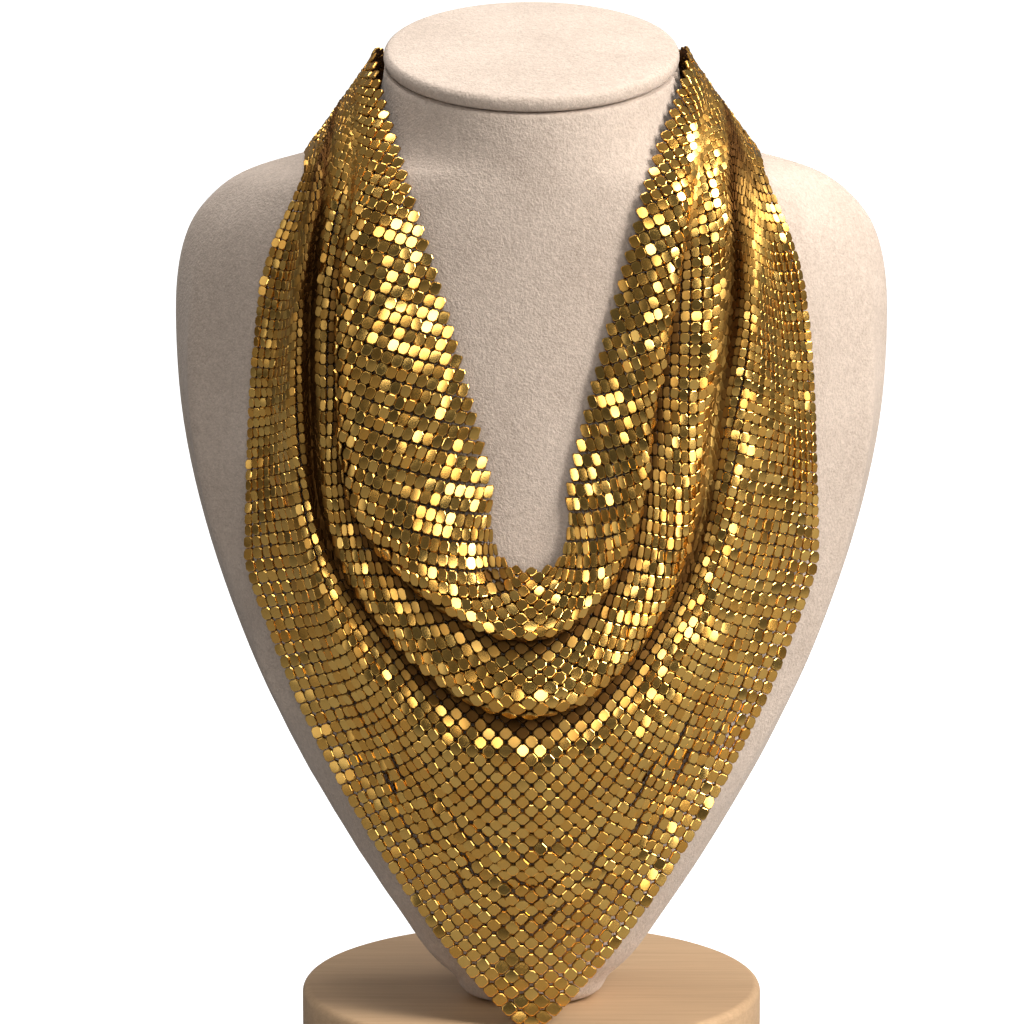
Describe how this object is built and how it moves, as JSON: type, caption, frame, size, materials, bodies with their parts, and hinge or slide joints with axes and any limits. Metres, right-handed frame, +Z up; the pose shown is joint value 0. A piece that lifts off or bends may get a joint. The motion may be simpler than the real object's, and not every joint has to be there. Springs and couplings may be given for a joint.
{
  "type": "mesh bib necklace on a neck bust with a wooden base",
  "caption": "Triangular metal mesh bib necklace, hung in cowl folds on a velvet neck bust with a round wooden base.",
  "frame": {"origin": "centre of the flat underside of the round base", "axes": "+Z up; the front of the bust and the necklace's tip look along -Y; +X is to the right as seen from the front"},
  "size_m": [0.2174, 0.1408, 0.3165],
  "materials": {
    "gold_mesh": "polished gold-tone plates",
    "gold_fittings": "polished gold tone",
    "velvet": "short-pile taupe velvet",
    "wood": "satin pale maple"
  },
  "bodies": {
    "root": {"mesh_bib": "gold_mesh", "end_cap_left": "gold_fittings", "end_cap_right": "gold_fittings", "hook_clasp": "gold_fittings", "neck_bust": "velvet", "neck_cap": "velvet", "wood_base": "wood"}
  },
  "joints": []
}
